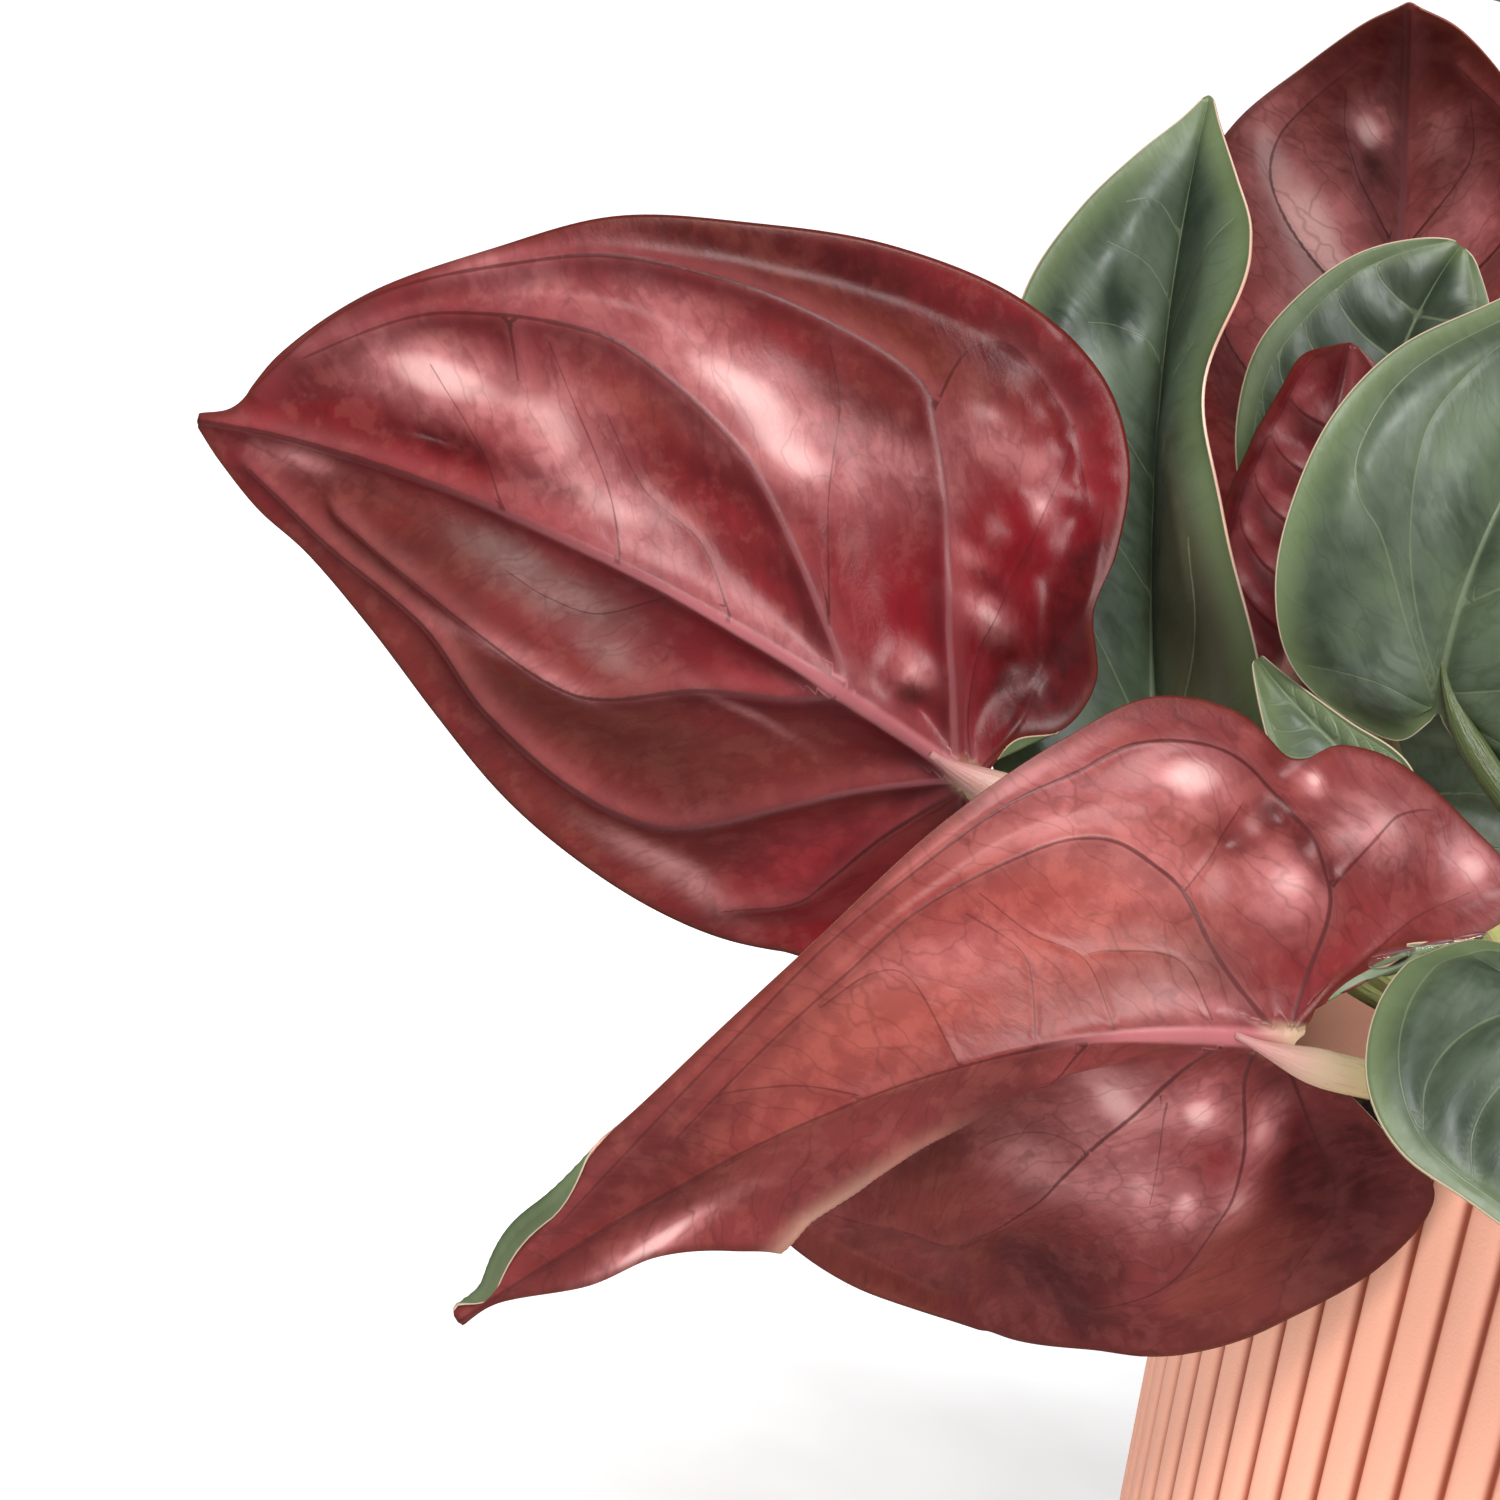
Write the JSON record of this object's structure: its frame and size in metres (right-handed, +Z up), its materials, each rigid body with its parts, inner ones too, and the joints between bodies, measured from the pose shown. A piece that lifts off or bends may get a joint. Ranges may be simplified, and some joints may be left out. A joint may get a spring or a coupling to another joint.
{
  "type": "potted red arrow syngonium",
  "caption": "Bushy arrowhead vine with wine-red and dark green arrow-shaped leaves on long stalks, in a tapered pot with fine upright ribs.",
  "frame": {"origin": "middle of the pot's flat base", "axes": "+Z up along the pot's axis, -Y towards the side from which the red undersides show, -X towards the largest leaf"},
  "size_m": [0.3713, 0.2867, 0.2644],
  "materials": {
    "pot": "matt salmon pink",
    "soil": "crumbly dark potting mix",
    "shoot": "smooth yellow-green flushed pink",
    "red_leaf": "satin wine red with pink veins",
    "green_leaf": "satin dark green with a pink rim"
  },
  "bodies": {
    "root": {"pot": "pot", "soil": "soil", "shoot_front_left": "shoot", "shoot_left": "shoot", "shoot_front": "shoot", "shoot_back": "shoot", "shoot_right": "shoot", "shoot_back_right": "shoot", "blade_01_large_left": "red_leaf", "blade_02_lower_left": "red_leaf", "blade_03_top": "red_leaf", "blade_04_upright_green": "green_leaf", "blade_05_half_hidden_green": "green_leaf", "blade_06_young_red": "red_leaf", "blade_07_right_green": "green_leaf", "blade_08_small_dark": "green_leaf", "blade_09_front_green": "green_leaf", "blade_10_right_arch": "green_leaf", "blade_11_front_right": "green_leaf", "blade_12_right_upper": "red_leaf", "blade_13_top_centre": "red_leaf", "blade_14_back_right": "green_leaf", "blade_15_back": "green_leaf", "blade_16_back_left": "green_leaf", "blade_17_front_low": "green_leaf", "blade_18_back_right_upper": "red_leaf", "blade_19_back_left_upper": "green_leaf"}
  },
  "joints": []
}
